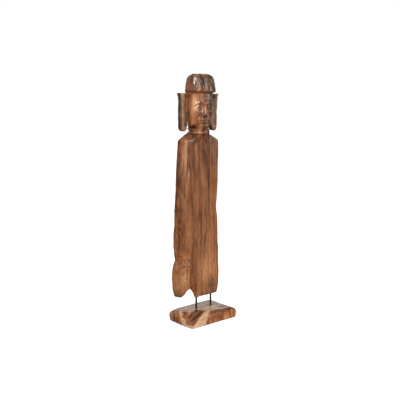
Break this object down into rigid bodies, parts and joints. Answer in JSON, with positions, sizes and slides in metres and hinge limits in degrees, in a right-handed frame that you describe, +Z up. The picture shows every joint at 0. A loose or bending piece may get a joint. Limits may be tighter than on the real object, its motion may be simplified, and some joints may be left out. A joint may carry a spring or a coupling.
{
  "type": "carved ancestor figure",
  "caption": "Tall carved wooden ancestor figure with slab ears and a plank-like trunk, lifted off a live-edge base by steel pins.",
  "frame": {"origin": "floor level under the middle of the base, at the felt pads' undersides", "axes": "+Z up along the figure, -Y the way the face looks, +X the figure's own left"},
  "size_m": [0.248, 0.15, 1.006],
  "materials": {
    "figure_wood": "lacquered teak, glossy, streaked and weathered",
    "base_wood": "lacquered live-edge hardwood with pale sapwood",
    "pin_steel": "satin black paint",
    "fastener_steel": "zinc-plated",
    "felt": "pressed brown felt"
  },
  "bodies": {
    "stand": {"base_block": "base_wood", "pin_left": "pin_steel", "pin_right": "pin_steel", "washer_left": "fastener_steel", "washer_right": "fastener_steel", "nut_left": "fastener_steel", "nut_right": "fastener_steel", "felt_pad_front_left": "felt", "felt_pad_front_right": "felt", "felt_pad_back_left": "felt", "felt_pad_back_right": "felt"},
    "figure": {"carved_figure": "figure_wood"}
  },
  "joints": [
    {"name": "figure_lift", "type": "slide", "parent": "stand", "child": "figure", "axis": [0, 0, 1], "range_m": [0, 0.08]}
  ]
}
